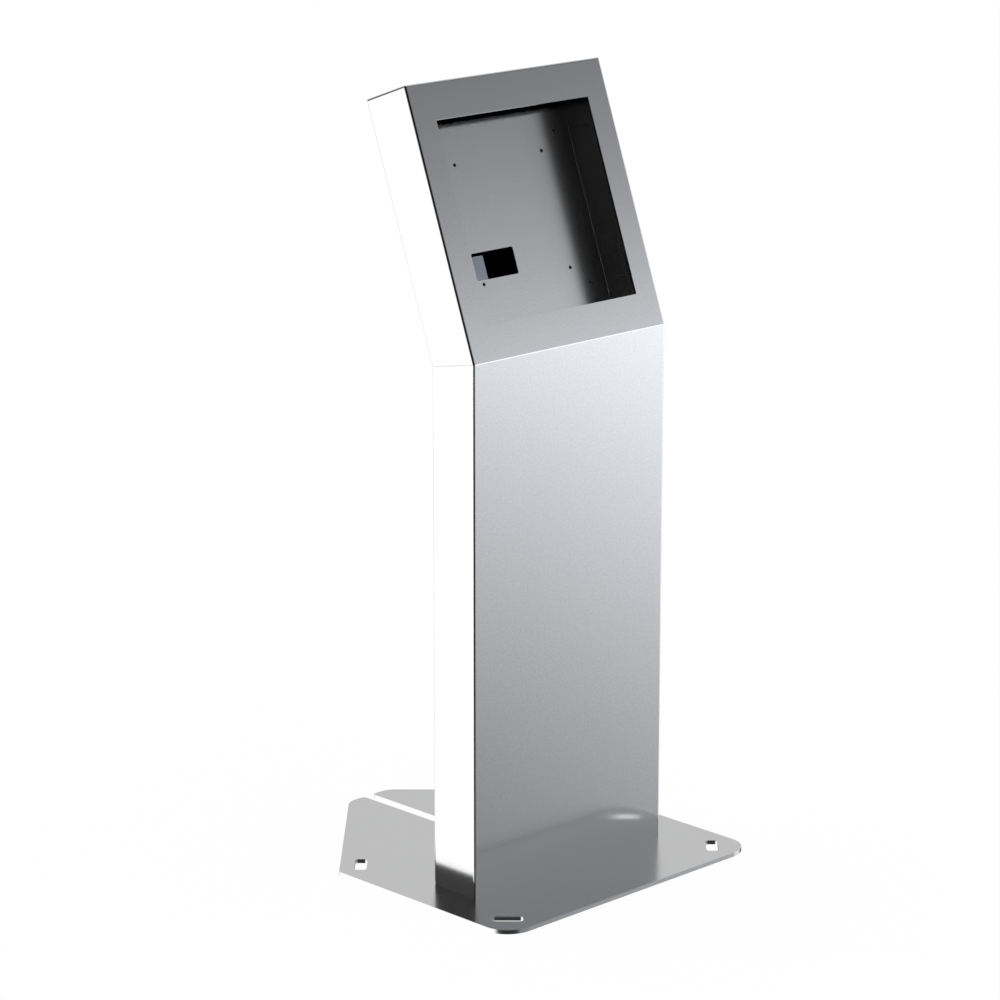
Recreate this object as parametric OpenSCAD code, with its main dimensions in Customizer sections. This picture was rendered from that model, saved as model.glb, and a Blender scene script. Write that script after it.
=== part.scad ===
// Intercom pedestal: a folded steel column and leaning head on a slotted base plate.
// Z is up, the front faces -Y, and the origin is under the middle of the base plate.

/* [Base plate] */
// Width of the base plate
plate_w = 500; // [460:5:600]
// Thickness of the base plate
plate_t = 6; // [5:1:12]
// Reach of the base plate in front of the column face
plate_front = 128; // [110:1:180]
// Distance behind the column face at which the side edges turn inwards
plate_flank = 213; // [200:1:250]
// Distance from the column face to the rear edge
plate_rear = 424; // [400:1:470]
// Width of the rear edge, corners included
tip_w = 78; // [72:1:110]
// Radius of the two front corners
front_corner_r = 41; // [10:1:50]
// Radius where the side edges turn inwards
flank_corner_r = 6; // [2:1:12]
// Radius of the two rear corners
tip_corner_r = 32; // [10:1:34]
// Width of an anchor slot
anchor_slot_w = 17.5; // [12:0.5:20]
// Length of an anchor slot
anchor_slot_l = 43; // [30:1:50]
// Corner radius of an anchor slot
anchor_slot_r = 5; // [1:0.5:5.5]
// Distance from the side and front edges to an anchor slot's centre
anchor_inset = 42; // [36:1:48]
// Distance between the front and the rear anchor slots
anchor_pitch = 299; // [270:1:310]
// Width of the cable slot in the rear of the plate
cable_slot_w = 17; // [12:1:22]
// Radius at the mouth of the cable slot
slot_mouth_r = 7; // [2:1:9]
// Width of the cable opening under the column
floor_opening_w = 240; // [120:5:280]

/* [Column] */
// Width of the column and the head
column_w = 375; // [350:5:420]
// Depth of the column and the head
body_d = 82; // [80:1:100]
// Height of the front kink above the floor
kink_h = 769; // [600:1:900]
// Thickness of the folded sheet
sheet = 2; // [1.5:0.25:2.5]
// Inner radius of the folds
fold_r = 1; // [0.5:0.25:1.5]
// Width of the flanges folded in at the rear
return_w = 30; // [29:1:36]
// Radius of the bend across the front at the kink
kink_r = 3.5; // [2:0.5:8]
// Width of the seam between column and head on the sides
seam_w = 0.5; // [0.2:0.1:0.8]

/* [Head] */
// Lean of the head from upright
head_tilt = 20; // [10:1:30]
// Width of the opening in the face
opening_w = 293; // [260:1:310]
// Height of the opening in the face
opening_h = 285; // [262:1:340]
// Distance from the kink up to the opening
opening_low = 49.5; // [40:0.5:80]
// Distance from the opening up to the top of the head
opening_rim = 53; // [46:0.5:90]

/* [Mounting tray] */
// Depth of the tray's floor below the head's face
tray_depth = 52.5; // [40:0.5:58]
// Thickness of the tray's sheet
tray_t = 1.5; // [1:0.25:2]
// Radius inside the fold round the tray's floor
tray_fold_r = 0.5; // [0.25:0.25:1]
// Thickness of the rubber strip under the tray's top side
strip_t = 1.5; // [1:0.25:3]
// Width of the flange round the tray
tray_flange_w = 17; // [15:1:20]
// Distance from the ends of the opening's sides to the studs there
tray_stud_end = 20; // [10:1:40]
// Thickness of the gasket between the tray and the face
gasket_t = 2; // [1:0.5:3]
// How far the gasket keeps back from the opening
gasket_setback = 2; // [1:0.5:3]
// Diameter of the device screw holes
screw_hole_d = 5.5; // [5.4:0.1:6.5]
// Diameter of the device screws
device_screw_d = 5; // [4:0.1:5.1]
// Distance between the four inner screw holes, both ways
inner_pitch = 168.5; // [150:0.5:172]
// Distance between the outer screw holes across the tray
outer_pitch_w = 234; // [220:1:246]
// Distance between the outer screw holes up the tray
outer_pitch_h = 219; // [206:1:230]
// Width of the cable hole
cable_hole_w = 80; // [50:1:90]
// Height of the cable hole
cable_hole_h = 38.5; // [25:0.5:40]
// Corner radius of the cable hole
cable_hole_r = 3; // [1:0.5:6]
// Distance of the cable hole's centre to the left of the tray's centre
cable_hole_left = 55; // [50:1:60]
// Distance of the cable hole's centre below the tray's centre
cable_hole_drop = 59; // [50:0.5:59]

/* [Covers] */
// Thickness of the rear covers
cover_t = 2; // [1.5:0.25:2.5]
// Thickness of the pressed seal under a cover
seal_t = 2; // [2:0.25:3]
// Width of the seal strip
seal_w = 11; // [8:1:12]
// How far the covers keep back from the sides and the top of the body
cover_inset = 5; // [4:0.5:6]
// Gap from the covers' ends to the base plate and to each other's joint
cover_gap = 2; // [1:0.25:3]
// Screws up each side of the column cover
screw_count = 3; // [2:1:5]
// Rivets up each side of the head panel
rivet_count = 4; // [2:1:6]
// Distance from the side of the body to the screws and rivets
screw_inset = 13; // [12.5:0.25:13.5]
// Distance from the end of a cover to its nearest screw or rivet
screw_end = 50; // [40:1:80]
// Depth of the stiffening channel on the column cover
rib_d = 16; // [10:1:18]
// Width of the stiffening channel on the column cover
rib_w = 50; // [40:1:70]
// Width of the channel's flanges on the cover
rib_flange = 14; // [10:1:20]

/* [Inner frames] */
// Thickness of the foot frame and the joint plates
frame_t = 3; // [2.5:0.5:4]
// Width of the frames' flat flanges
frame_w = 22; // [20:1:24]
// Height of the foot frame's upright walls
foot_h = 34; // [30:1:50]
// Height of the lips that back the ends of the covers
lip_h = 28; // [24:1:40]
// Fasteners along each row of the foot frame and the joint
row_count = 4; // [2:2:6]
// Distance from the side of the body to the last fastener of a row
row_end = 44; // [42:1:50]
// Width of the front stiffening channel's crown
channel_w = 44; // [30:1:60]
// Depth of the front stiffening channel
channel_d = 18; // [12:1:20]
// Width of each flange of the front stiffening channel
channel_flange = 14; // [10:1:16]

/* [Cable bar] */
// Height of the cable bar's centre above the floor
bar_z = 170; // [130:1:300]
// Height of the bar
bar_h = 26; // [20:1:40]
// Distance from the column face to the bar
bar_back = 36; // [26:1:40]
// Length of the bar's folded ends
bar_end = 20; // [16:1:22]
// Tie slots in the bar
tie_slots = 8; // [4:1:12]
// Width of a tie slot
tie_slot_w = 8; // [5:1:12]
// Height of a tie slot
tie_slot_h = 14; // [8:1:16]
// Height of the earth stud above the floor
earth_z = 95; // [75:1:105]

/* [Fasteners] */
// Diameter of the base studs
base_stud_d = 8; // [6:1:8]
// Length of the base studs
base_stud_l = 18; // [16:1:24]
// Diameter of the bolts between column and head
joint_bolt_d = 6; // [5:1:6]
// Diameter of the tray studs
tray_stud_d = 4; // [3:1:5]
// Length of the tray studs
tray_stud_l = 11; // [10:1:14]
// Width of the weld nuts behind the tray, over their corners
weld_nut_d = 9.2; // [8:0.1:11]
// Height of the weld nuts
weld_nut_h = 4; // [3:0.5:6]
// Diameter of the cover screws
cover_screw_d = 5; // [4:0.5:5]
// Length of the cover screws under their heads
cover_screw_l = 13; // [10:1:15]
// Diameter of the cable bar's studs
bar_stud_d = 5; // [4:1:6]
// Length of the cable bar's studs
bar_stud_l = 13; // [10:1:20]
// Distance of the studs from the rear edge of the bar's ends
bar_stud_edge = 6.5; // [6:0.5:9]
// Diameter of the earth stud
earth_stud_d = 6; // [5:1:8]
// Length of the earth stud
earth_stud_l = 18; // [14:1:30]
// Clearance all round a screw in its thread
thread_gap = 0.05; // [0.02:0.01:0.1]
// Diameter of the head panel's rivets
rivet_d = 4; // [3:0.5:5]
// Height of a rivet's head
rivet_head_h = 1.65; // [1.2:0.05:2.5]
// Clearance all round a screw in a plain hole
hole_gap = 0.25; // [0.2:0.05:0.5]
// Play under the loose seal and washers of the column cover
seat_gap = 0.05; // [0.02:0.01:0.1]

/* [Hidden] */
$fn = 64;

// Length of the head's face, from the kink to its top
head_l = opening_low + opening_h + opening_rim;
// Larger than the whole pedestal, for cuts
far = 4 * (kink_h + head_l);
// Lets a cut run past the face it starts on
past = 1;

// Y of the column's face, with the plate centred on the origin
face_y = plate_front - (plate_front + plate_rear) / 2;
half_tilt = head_tilt / 2;
half_w = column_w / 2;
outer_r = sheet + fold_r;
// Half the clear width between the rear flanges
rear_half = half_w - return_w;
// Room that the frames' rear tabs leave beside the flanges
tab_gap = 0.4;
tab_half = rear_half - tab_gap;
// Depth from the face to the outside of the covers
over_covers = body_d + seal_t + cover_t;
// Rear corner of the joint, below its front edge on the column and above it on the head
joint_drop = mitre_drop(body_d);

// Rows of fasteners, measured back from the column's face
row_front = sheet + frame_w / 2;
row_rear = body_d - frame_w / 2;
row_xs = spread(row_count, column_w - 2 * row_end);
ring_front = sheet + frame_w;
ring_rear = body_d - frame_w;
ring_half = half_w - sheet - frame_w;

opening_mid = opening_low + opening_h / 2;
// The tray also holds the rubber strip, above the opening
tray_h = opening_h + strip_t;
tray_mid = opening_low + tray_h / 2;
// Depth of the front of the tray's flange below the face
flange_y = sheet + gasket_t;
// How much rounder the rubber strip's corners are than the fold that they lie in
strip_ease = 0.1;
// Gap between the tray's wall and the middle of a stud, and half the flange
stud_out = tray_t + tray_flange_w / 2;

// Hardware as multiples of its thread: width over corners, flange and washer width, heights
hex_ratio = 1.85;
flange_ratio = 2.15;
washer_ratio = 1.9;
nut_ratio = 0.8;
bolt_head_ratio = 0.65;
washer_t = 1.6;
// Wall of a rivet nut, its flange's thickness and the length of its bulge behind the sheet
nut_wall = 1;
nut_flange_t = 1;
nut_bulge_l = 6;
nut_hole_r = cover_screw_d / 2 + nut_wall;

cover_low = plate_t + cover_gap;
cover_top = kink_h - mitre_drop(over_covers) - cover_gap;
panel_low = mitre_drop(over_covers) + cover_gap;
panel_top = head_l - cover_inset;

tray_stud_places = concat(
    [for (side = [-1, 1], up = spread(3, tray_h - 2 * tray_stud_end))
        [side * (opening_w / 2 + stud_out), tray_mid + up]],
    [for (side = [-1, 1], along = spread(2, opening_w / 2))
        [along, tray_mid + side * (tray_h / 2 + stud_out)]]);

anchor_places = [for (side = [-1, 1], back = [0, anchor_pitch])
    [side * (plate_w / 2 - anchor_inset), anchor_inset - plate_front + back, side * (back > 0 ? -1 : 1)]];

function spread(count, span) = [for (i = [0 : count - 1]) span * (i / (count - 1) - 0.5)];
function unit(v) = v / norm(v);
// How far the joint between column and head lies from its front edge's height at a depth
function mitre_drop(depth) = depth * tan(half_tilt);

// Placing
// A flat drawing's or part's Y then starts at the column's face
module at_face() translate([0, face_y, 0]) children();
module on_head() translate([0, face_y, kink_h]) rotate([-head_tilt, 0, 0]) children();
module on_mitre() translate([0, face_y, kink_h]) rotate([-half_tilt, 0, 0]) children();
// Points the extrusion of a flat drawing backwards, with the drawing's Y upwards
module facing_back() rotate([90, 0, 0]) mirror([0, 0, 1]) children();
// Everything above or, with side = -1, below the plane between column and head
module past_mitre(side, away = 0)
    on_mitre() translate([0, 0, side * (far / 2 + away)]) cube(far, center = true);

// Flat outlines
// What comes off the corner b, between a and c, to round it
module corner_waste(a, b, c, r) {
    u = unit(a - b);
    v = unit(c - b);
    half = acos(u * v) / 2;
    middle = b + unit(u + v) * r / sin(half);
    out_u = unit(u * (u * v) - v) * past;
    out_v = unit(v * (u * v) - u) * past;
    difference() {
        polygon([middle, b + u * r / tan(half) + out_u, b - unit(u + v) * past / sin(half),
            b + v * r / tan(half) + out_v]);
        translate(middle) circle(r);
    }
}
// Polygon with the corner radii given, one for each point
module rounded(points, radii) {
    count = len(points);
    difference() {
        polygon(points);
        for (i = [0 : count - 1]) if (radii[i] > 0)
            corner_waste(points[(i + count - 1) % count], points[i], points[(i + 1) % count], radii[i]);
    }
}
module rounded_box(x0, x1, y0, y1, r)
    rounded([[x0, y0], [x1, y0], [x1, y1], [x0, y1]], [r, r, r, r]);
module box2(x0, x1, y0, y1) translate([x0, y0]) square([x1 - x0, y1 - y0]);

// Section of the folded shells, and the clear space inside it
module shell_inside() rounded_box(sheet - half_w, half_w - sheet, sheet, body_d - sheet, fold_r);
module shell_section() difference() {
    rounded_box(-half_w, half_w, 0, body_d, outer_r);
    shell_inside();
    box2(-rear_half, rear_half, body_d - 2 * sheet, body_d + past);
}
// Outline of a frame that fits the shell, with a tab between the rear flanges
module frame_outline() {
    shell_inside();
    box2(-tab_half, tab_half, body_d - 2 * sheet, body_d);
}
module ring_opening() box2(-ring_half, ring_half, ring_front, ring_rear);

// Hardware, all standing on z = 0
module washer(hole, outer, t) difference() {
    cylinder(d = outer, h = t);
    translate([0, 0, -past]) cylinder(d = hole, h = t + 2 * past);
}
module nut(d) difference() {
    cylinder(d = hex_ratio * d, h = nut_ratio * d, $fn = 6);
    translate([0, 0, -past]) cylinder(r = d / 2 + thread_gap, h = d + 2 * past);
}
module flange_nut(d) difference() {
    union() {
        cylinder(d = 1.8 * d, h = nut_ratio * d, $fn = 6);
        cylinder(d = flange_ratio * d, h = 0.2 * d);
    }
    translate([0, 0, -past]) cylinder(r = d / 2 + thread_gap, h = d + 2 * past);
}

// Base
module base_plate() color("gainsboro") at_face() linear_extrude(plate_t) difference() {
    rounded([
            [-plate_w / 2, -plate_front], [plate_w / 2, -plate_front], [plate_w / 2, plate_flank],
            [tip_w / 2, plate_rear], [cable_slot_w / 2, plate_rear],
            [cable_slot_w / 2, ring_rear - past], [-cable_slot_w / 2, ring_rear - past],
            [-cable_slot_w / 2, plate_rear], [-tip_w / 2, plate_rear], [-plate_w / 2, plate_flank]],
        [front_corner_r, front_corner_r, flank_corner_r, tip_corner_r, slot_mouth_r, 0, 0, slot_mouth_r,
            tip_corner_r, flank_corner_r]);
    box2(-floor_opening_w / 2, floor_opening_w / 2, ring_front, ring_rear);
    for (place = anchor_places)
        translate([place[0], place[1]]) rotate(45 * place[2]) rounded_box(-anchor_slot_l / 2,
            anchor_slot_l / 2, -anchor_slot_w / 2, anchor_slot_w / 2, anchor_slot_r);
}
module base_fastener_places(z) at_face() for (x = row_xs, y = [row_front, row_rear])
    translate([x, y, z]) children();
module base_studs() color("silver") base_fastener_places(plate_t)
    cylinder(d = base_stud_d, h = base_stud_l);
module foot_frame() color("darkgray") difference() {
    at_face() translate([0, 0, plate_t]) {
        linear_extrude(frame_t) difference() {
            frame_outline();
            ring_opening();
        }
        linear_extrude(foot_h) difference() {
            frame_outline();
            box2(sheet + frame_t - half_w, half_w - sheet - frame_t,
                sheet + frame_t, body_d - sheet - frame_t);
            box2(frame_t - tab_half, tab_half - frame_t, sheet + frame_t, body_d - frame_t);
        }
    }
    base_fastener_places(plate_t - past) cylinder(r = base_stud_d / 2 + hole_gap, h = frame_t + 2 * past);
}
module base_washers() color("silver") base_fastener_places(plate_t + frame_t)
    washer(base_stud_d + 2 * hole_gap, washer_ratio * base_stud_d, washer_t);
module base_nuts() color("silver") base_fastener_places(plate_t + frame_t + washer_t) nut(base_stud_d);

// Column
module along_width() rotate([90, 0, 90]) translate([0, 0, -column_w]) linear_extrude(2 * column_w)
    children();
// Rounds the front edge of the kink, and opens the seam in the sides
module kink_waste() {
    at_face() along_width() corner_waste([0, 0], [0, kink_h],
        [head_l * sin(head_tilt), kink_h + head_l * cos(head_tilt)], kink_r);
    on_mitre() for (side = [-1, 1]) translate([side * (half_w + past - sheet / 2), outer_r + body_d, 0])
        cube([sheet + 2 * past, 2 * body_d, seam_w], center = true);
}
module column_shell() color("whitesmoke") difference() {
    at_face() translate([0, 0, plate_t]) linear_extrude(kink_h) shell_section();
    past_mitre(1);
    kink_waste();
    cover_screw_places() translate([0, 0, -past - sheet]) cylinder(r = nut_hole_r, h = sheet + 2 * past);
}
module front_channel() color("darkgray") difference() {
    at_face() translate([0, 0, plate_t + foot_h]) linear_extrude(kink_h) difference() {
        union() {
            box2(-channel_w / 2 - channel_flange, channel_w / 2 + channel_flange, sheet, 2 * sheet);
            box2(-channel_w / 2, channel_w / 2, sheet, sheet + channel_d);
        }
        box2(sheet - channel_w / 2, channel_w / 2 - sheet, 0, channel_d);
    }
    past_mitre(1, -frame_t);
}
// Joint plate of the column; the head's is its mirror image in the joint
module joint_plate_shape() difference() {
    at_face() linear_extrude(kink_h) difference() {
        frame_outline();
        ring_opening();
    }
    past_mitre(1);
    difference() {
        past_mitre(-1, frame_t);
        at_face() linear_extrude(kink_h) box2(-tab_half, tab_half, body_d - frame_t, body_d);
    }
    at_face() translate([-half_w, -past, 0])
        cube([column_w, body_d + 2 * past, kink_h - joint_drop - lip_h]);
    joint_places(-frame_t - past) cylinder(r = joint_bolt_d / 2 + hole_gap, h = frame_t + 2 * past);
}
module joint_places(z) on_mitre()
    for (x = row_xs, y = [row_front, row_rear]) translate([x, y / cos(half_tilt), z]) children();
module across_mitre() translate([0, face_y, kink_h]) rotate([-half_tilt, 0, 0]) mirror([0, 0, 1])
    rotate([half_tilt, 0, 0]) translate([0, -face_y, -kink_h]) children();
module column_joint_plate() color("darkgray") joint_plate_shape();
module head_joint_plate() color("darkgray") across_mitre() joint_plate_shape();
module joint_bolts() color("silver") joint_places(frame_t) {
    cylinder(d = hex_ratio * joint_bolt_d, h = bolt_head_ratio * joint_bolt_d, $fn = 6);
    translate([0, 0, -2 * frame_t - joint_bolt_d])
        cylinder(d = joint_bolt_d, h = 2 * frame_t + joint_bolt_d + past);
}
module joint_nuts() color("silver") joint_places(-frame_t) mirror([0, 0, 1]) flange_nut(joint_bolt_d);

// Head
module head_shell() color("whitesmoke") difference() {
    on_head() difference() {
        translate([0, 0, -body_d]) linear_extrude(head_l + body_d)
            rounded_box(-half_w, half_w, 0, body_d, outer_r);
        translate([0, 0, -2 * body_d]) linear_extrude(head_l + 2 * body_d - sheet) shell_inside();
        along_width() {
            corner_waste([0, 0], [0, head_l], [body_d, head_l], outer_r);
            corner_waste([0, head_l], [body_d, head_l], [body_d, 0], outer_r);
        }
        facing_back() translate([0, 0, -past]) linear_extrude(body_d + 2 * past) for (side = [-1, 1])
            corner_waste([side * half_w, 0], [side * half_w, head_l], [0, head_l], outer_r);
        translate([-rear_half, body_d - 2 * sheet, -far])
            cube([2 * rear_half, 3 * sheet, far + head_l - return_w]);
        translate([-opening_w / 2, -past, opening_low]) cube([opening_w, sheet + 2 * past, opening_h]);
    }
    past_mitre(-1);
    kink_waste();
    rivet_places() translate([0, 0, -past - sheet])
        cylinder(r = rivet_d / 2 + hole_gap, h = sheet + 2 * past);
}

// Tray, with its flange, walls and floor
module tray_places(y) on_head() for (place = tray_stud_places)
    translate([place[0], y, place[1]]) rotate([-90, 0, 0]) children();
module tray_block(margin, y0, y1) translate([0, (y0 + y1) / 2, tray_mid])
    cube([opening_w + 2 * margin, y1 - y0, tray_h + 2 * margin], center = true);
// The same with its rear edges rounded
module tray_pan(margin, y0, y1, r) intersection() {
    tray_block(margin, y0, y1);
    translate([0, 0, tray_mid - tray_h / 2 - margin]) linear_extrude(tray_h + 2 * margin)
        pan_outline(0, opening_w / 2 + margin, y0, y1, r);
    translate([opening_w / 2 + margin, 0, 0]) rotate([0, -90, 0]) linear_extrude(opening_w + 2 * margin)
        pan_outline(tray_mid, tray_h / 2 + margin, y0, y1, r);
}
module pan_outline(middle, half, y0, y1, r)
    rounded([[middle - half, y0], [middle + half, y0], [middle + half, y1], [middle - half, y1]], [0, 0, r, r]);
module tray_studs() color("silver") tray_places(sheet) cylinder(d = tray_stud_d, h = tray_stud_l);
module tray_gasket() color("#303030") difference() {
    on_head() difference() {
        tray_block(tray_t + tray_flange_w, sheet, flange_y);
        tray_block(gasket_setback, 0, body_d);
    }
    tray_places(sheet - past) cylinder(r = tray_stud_d / 2 + hole_gap, h = gasket_t + 2 * past);
}
module mounting_tray() color("silver") difference() {
    on_head() difference() {
        union() {
            tray_block(tray_t + tray_flange_w, flange_y, flange_y + tray_t);
            tray_pan(tray_t, flange_y, tray_depth + tray_t, tray_fold_r + tray_t);
        }
        tray_pan(0, 0, tray_depth, tray_fold_r);
        translate([-cable_hole_left, tray_depth - past, opening_mid - cable_hole_drop])
            facing_back() linear_extrude(tray_t + 2 * past) rounded_box(-cable_hole_w / 2, cable_hole_w / 2,
                -cable_hole_h / 2, cable_hole_h / 2, cable_hole_r);
    }
    tray_places(flange_y - past) cylinder(r = tray_stud_d / 2 + hole_gap, h = tray_t + 2 * past);
    device_places(inner_pitch, inner_pitch, tray_depth - past)
        cylinder(d = screw_hole_d, h = tray_t + 2 * past);
    device_places(outer_pitch_w, outer_pitch_h, tray_depth - past)
        cylinder(d = screw_hole_d, h = tray_t + 2 * past);
}
module top_strip() color("#303030") on_head() intersection() {
    translate([-opening_w / 2, sheet, opening_low + opening_h]) cube([opening_w, tray_depth - sheet, strip_t]);
    tray_pan(0, 0, tray_depth, tray_fold_r + strip_ease);
}
module tray_nuts() color("silver") tray_places(flange_y + tray_t) flange_nut(tray_stud_d);
module device_places(w, h, y) on_head() for (x = [-w / 2, w / 2], z = [-h / 2, h / 2])
    translate([x, y, opening_mid + z]) rotate([-90, 0, 0]) children();
module weld_nut() difference() {
    cylinder(d = weld_nut_d, h = weld_nut_h, $fn = 6);
    translate([0, 0, -past]) cylinder(d = device_screw_d, h = weld_nut_h + 2 * past);
}
module inner_weld_nuts() color("silver")
    device_places(inner_pitch, inner_pitch, tray_depth + tray_t) weld_nut();
module outer_weld_nuts() color("silver")
    device_places(outer_pitch_w, outer_pitch_h, tray_depth + tray_t) weld_nut();

// Cable bar and earth stud
module on_side(side, y, z) at_face() translate([side * (half_w - sheet), y, z])
    rotate([0, -90 * side, 0]) children();
module bar_stud_places() for (side = [-1, 1])
    on_side(side, bar_back + bar_end - bar_stud_edge, bar_z) children();
module bar_studs() color("silver") bar_stud_places() cylinder(d = bar_stud_d, h = bar_stud_l);
module cable_bar() color("darkgray") difference() {
    at_face() translate([0, 0, bar_z - bar_h / 2]) difference() {
        translate([sheet - half_w, bar_back, 0]) cube([column_w - 2 * sheet, bar_end, bar_h]);
        translate([2 * sheet - half_w, bar_back + sheet, -past])
            cube([column_w - 4 * sheet, bar_end, bar_h + 2 * past]);
        for (x = spread(tie_slots, column_w - 2 * row_end))
            translate([x - tie_slot_w / 2, bar_back - past, (bar_h - tie_slot_h) / 2])
                cube([tie_slot_w, sheet + 2 * past, tie_slot_h]);
    }
    bar_stud_places() translate([0, 0, -past])
        cylinder(r = bar_stud_d / 2 + hole_gap, h = sheet + 2 * past);
}
module bar_nuts() color("silver") bar_stud_places() translate([0, 0, sheet]) flange_nut(bar_stud_d);
module on_earth_place() on_side(-1, body_d / 2, earth_z) children();
module earth_stud() color("silver") on_earth_place() cylinder(d = earth_stud_d, h = earth_stud_l);
module earth_washer() color("goldenrod") on_earth_place()
    washer(earth_stud_d + 2 * hole_gap, 2 * earth_stud_d, washer_t);
module earth_nut() color("goldenrod") on_earth_place() translate([0, 0, washer_t]) nut(earth_stud_d);

// Covers. A screw's or rivet's place is on the outside of the rear flange, and its Z points out of the body
module screw_places(low, top, count) for (side = [-1, 1], up = spread(count, top - low - 2 * screw_end))
    translate([side * (half_w - screw_inset), body_d, (low + top) / 2 + up]) rotate([-90, 0, 0]) children();
module cover_screw_places() at_face() screw_places(cover_low, cover_top, screw_count) children();
module rivet_places() on_head() screw_places(panel_low, panel_top, rivet_count) children();
module cover_sheet(low, top) translate([0, body_d + seal_t, 0]) facing_back() linear_extrude(cover_t)
    rounded_box(cover_inset - half_w, half_w - cover_inset, low, top, sheet);
// Seal round an opening in the rear that runs from low to top
module seal_ring(low, top, t)
    translate([0, body_d + seal_t - t, 0]) facing_back() linear_extrude(t) difference() {
        box2(-rear_half - seal_w, rear_half + seal_w, low - seal_w, top + seal_w);
        box2(-rear_half, rear_half, low, top);
    }

module head_panel_seal() color("#303030") on_head()
    seal_ring(joint_drop + lip_h, head_l - return_w, seal_t);
module head_panel() color("whitesmoke") difference() {
    on_head() cover_sheet(panel_low, panel_top);
    rivet_places() cylinder(r = rivet_d / 2 + hole_gap, h = body_d);
}
module panel_rivets() color("silver") rivet_places() {
    translate([0, 0, -2 * sheet]) cylinder(d = rivet_d, h = 2 * sheet + seal_t + cover_t + past);
    translate([0, 0, -sheet - rivet_d]) cylinder(d = 1.5 * rivet_d, h = rivet_d);
    translate([0, 0, seal_t + cover_t]) cylinder(d1 = 2 * rivet_d, d2 = 1.2 * rivet_d, h = rivet_head_h);
}

module rivet_nuts() color("silver") cover_screw_places() difference() {
    union() {
        cylinder(d = 1.8 * cover_screw_d, h = nut_flange_t);
        translate([0, 0, -sheet - past]) cylinder(r = nut_hole_r - thread_gap, h = sheet + 2 * past);
        translate([0, 0, -sheet - nut_bulge_l]) cylinder(d = 1.7 * cover_screw_d, h = nut_bulge_l);
    }
    translate([0, 0, -body_d]) cylinder(r = cover_screw_d / 2 + thread_gap, h = 2 * body_d);
}
module column_cover() color("whitesmoke") difference() {
    at_face() cover_sheet(cover_low, cover_top);
    cover_screw_places() cylinder(r = cover_screw_d / 2 + hole_gap, h = body_d);
}
module cover_rib() color("silver") at_face() translate([0, body_d + seal_t, plate_t + foot_h + seal_w])
    linear_extrude(kink_h - joint_drop - lip_h - plate_t - foot_h - 2 * seal_w) difference() {
        union() {
            box2(-rib_w / 2 - rib_flange, rib_w / 2 + rib_flange, -cover_t, 0);
            box2(-rib_w / 2, rib_w / 2, -rib_d, 0);
        }
        box2(cover_t - rib_w / 2, rib_w / 2 - cover_t, cover_t - rib_d, past);
    }
module cover_seal() color("#303030") at_face()
    seal_ring(plate_t + foot_h, kink_h - joint_drop - lip_h, seal_t - seat_gap);
module cover_screws() color("silver") cover_screw_places() {
    translate([0, 0, seal_t + cover_t - cover_screw_l])
        cylinder(d = cover_screw_d, h = cover_screw_l + past);
    translate([0, 0, seal_t + cover_t]) difference() {
        cylinder(d1 = 1.9 * cover_screw_d, d2 = 1.5 * cover_screw_d, h = 0.55 * cover_screw_d);
        translate([0, 0, 0.25 * cover_screw_d])
            cylinder(d = 0.6 * cover_screw_d, h = cover_screw_d, $fn = 6);
    }
}
module screw_washers() color("ivory") cover_screw_places() translate([0, 0, nut_flange_t + seat_gap])
    washer(cover_screw_d + 2 * hole_gap, 2 * cover_screw_d, seal_t - nut_flange_t - seat_gap);

base_plate();
base_studs();
foot_frame();
base_washers();
base_nuts();
column_shell();
front_channel();
column_joint_plate();
head_joint_plate();
joint_bolts();
joint_nuts();
head_shell();
tray_studs();
tray_gasket();
mounting_tray();
tray_nuts();
top_strip();
inner_weld_nuts();
outer_weld_nuts();
bar_studs();
cable_bar();
bar_nuts();
earth_stud();
earth_washer();
earth_nut();
head_panel_seal();
head_panel();
panel_rivets();
rivet_nuts();
column_cover();
cover_rib();
cover_seal();
cover_screws();
screw_washers();
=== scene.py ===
import math

import bpy
from mathutils import Euler, Matrix, Vector


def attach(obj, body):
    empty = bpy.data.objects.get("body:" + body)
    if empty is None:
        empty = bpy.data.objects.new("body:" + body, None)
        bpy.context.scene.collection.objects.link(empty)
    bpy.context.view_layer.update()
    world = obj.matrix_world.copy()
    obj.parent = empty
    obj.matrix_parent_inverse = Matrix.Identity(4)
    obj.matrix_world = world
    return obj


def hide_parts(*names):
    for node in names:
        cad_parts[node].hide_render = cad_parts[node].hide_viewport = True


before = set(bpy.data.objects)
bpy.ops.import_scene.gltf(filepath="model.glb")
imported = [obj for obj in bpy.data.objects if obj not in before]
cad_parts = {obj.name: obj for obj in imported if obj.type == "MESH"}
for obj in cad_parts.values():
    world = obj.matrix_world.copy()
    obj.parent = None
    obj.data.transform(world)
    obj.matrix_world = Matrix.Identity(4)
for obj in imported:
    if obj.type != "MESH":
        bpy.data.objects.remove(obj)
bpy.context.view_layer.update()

bl_info = {
    "name": "Intercom pedestal",
    "version": (1, 0, 0),
    "blender": (4, 5, 0),
    "location": "3D View > Sidebar > Pedestal",
    "description": "Finishes, threads, studio and camera for a folded steel intercom pedestal",
    "category": "Object",
}

MM = 0.001

# The head leans back about the kink in the front, and its panel's inner side lies this deep behind its face
KINK = Vector((0, -148, 769)) * MM
HEAD_TILT = math.radians(20)
PANEL_DEPTH = 84 * MM
HEAD_BACK = Vector((0, math.cos(HEAD_TILT), -math.sin(HEAD_TILT)))
# Across the joint between column and head
JOINT_AXIS = Vector((0, math.sin(HEAD_TILT / 2), math.cos(HEAD_TILT / 2)))
UP = Vector((0, 0, 1))
RIGHT = Vector((1, 0, 0))
REAR = Vector((0, 1, 0))


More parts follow.
